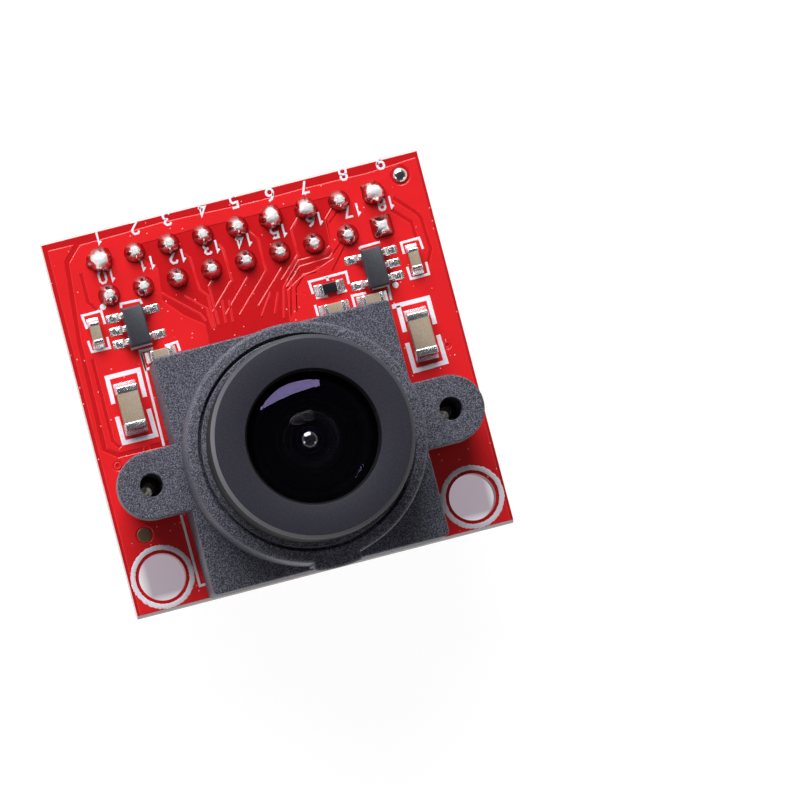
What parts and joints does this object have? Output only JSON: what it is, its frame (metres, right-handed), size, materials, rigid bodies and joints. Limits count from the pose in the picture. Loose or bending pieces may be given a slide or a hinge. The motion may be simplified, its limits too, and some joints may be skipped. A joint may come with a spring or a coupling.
{
  "type": "camera module",
  "caption": "Square camera board with a screw-in focusing lens in a moulded holder, regulators, chip parts, two mounting holes and a double-row pin header on its back.",
  "frame": {"origin": "midway between the two mounting holes, on the back face of the board", "axes": "+Z is the way the lens looks, +Y runs from the mounting holes to the pin header, +X to the right seen from the front with the header up"},
  "size_m": [0.028, 0.0283, 0.0263],
  "materials": {
    "red_solder_mask": "semi-gloss solder mask over glass laminate",
    "header_plastic": "moulded, matt",
    "solder": "bright tin solder",
    "holder_plastic": "moulded, fine grain",
    "screw_steel": "zinc plated",
    "filter_glass": "coated flat glass",
    "sensor_package": "semiconductor package",
    "clear_glass": "polished",
    "gilt_pin": "gilt",
    "lens_black": "black anodised, matt",
    "coated_glass": "polished, violet coating",
    "regulator_plastic": "moulded epoxy",
    "tinned_metal": "tin plated",
    "capacitor_ceramic": "fired, semi-matt",
    "resistor_coat": "black glaze",
    "oscillator_ceramic": "fired, matt",
    "oscillator_lid_metal": "plated lid"
  },
  "bodies": {
    "board": {"circuit_board": "red_solder_mask", "header_body": "header_plastic", "solder_joints": "solder", "lens_holder": "holder_plastic", "holder_screws": "screw_steel", "light_filter": "filter_glass", "image_sensor": "sensor_package", "sensor_cover_glass": "clear_glass", "header_pin_01": "gilt_pin", "header_pin_02": "gilt_pin", "header_pin_03": "gilt_pin", "header_pin_04": "gilt_pin", "header_pin_05": "gilt_pin", "header_pin_06": "gilt_pin", "header_pin_07": "gilt_pin", "header_pin_08": "gilt_pin", "header_pin_09": "gilt_pin", "header_pin_10": "gilt_pin", "header_pin_11": "gilt_pin", "header_pin_12": "gilt_pin", "header_pin_13": "gilt_pin", "header_pin_14": "gilt_pin", "header_pin_15": "gilt_pin", "header_pin_16": "gilt_pin", "header_pin_17": "gilt_pin", "header_pin_18": "gilt_pin", "regulator_right_case": "regulator_plastic", "regulator_right_leads": "tinned_metal", "regulator_left_case": "regulator_plastic", "regulator_left_leads": "tinned_metal", "bulk_capacitor_right_body": "capacitor_ceramic", "bulk_capacitor_right_ends": "tinned_metal", "bulk_capacitor_left_body": "capacitor_ceramic", "bulk_capacitor_left_ends": "tinned_metal", "output_capacitor_right_body": "capacitor_ceramic", "output_capacitor_right_ends": "tinned_metal", "output_capacitor_left_body": "capacitor_ceramic", "output_capacitor_left_ends": "tinned_metal", "input_capacitor_right_body": "capacitor_ceramic", "input_capacitor_right_ends": "tinned_metal", "input_capacitor_left_body": "capacitor_ceramic", "input_capacitor_left_ends": "tinned_metal", "supply_capacitor_body": "capacitor_ceramic", "supply_capacitor_ends": "tinned_metal", "link_resistor_body": "resistor_coat", "link_resistor_ends": "tinned_metal", "oscillator_base": "oscillator_ceramic", "oscillator_lid": "oscillator_lid_metal"},
    "lens": {"lens_barrel": "lens_black", "front_lens": "coated_glass", "front_spacer": "lens_black", "middle_lens": "coated_glass", "aperture_ring": "lens_black", "rear_lens": "coated_glass", "rear_spacer": "lens_black", "field_lens": "coated_glass", "retaining_ring": "lens_black"}
  },
  "joints": [
    {"name": "lens_focus", "type": "hinge", "parent": "board", "child": "lens", "pos_m": [0, 0.0063, 0.0109], "axis": [0, 0, 1], "range_deg": [-180, 180]}
  ]
}
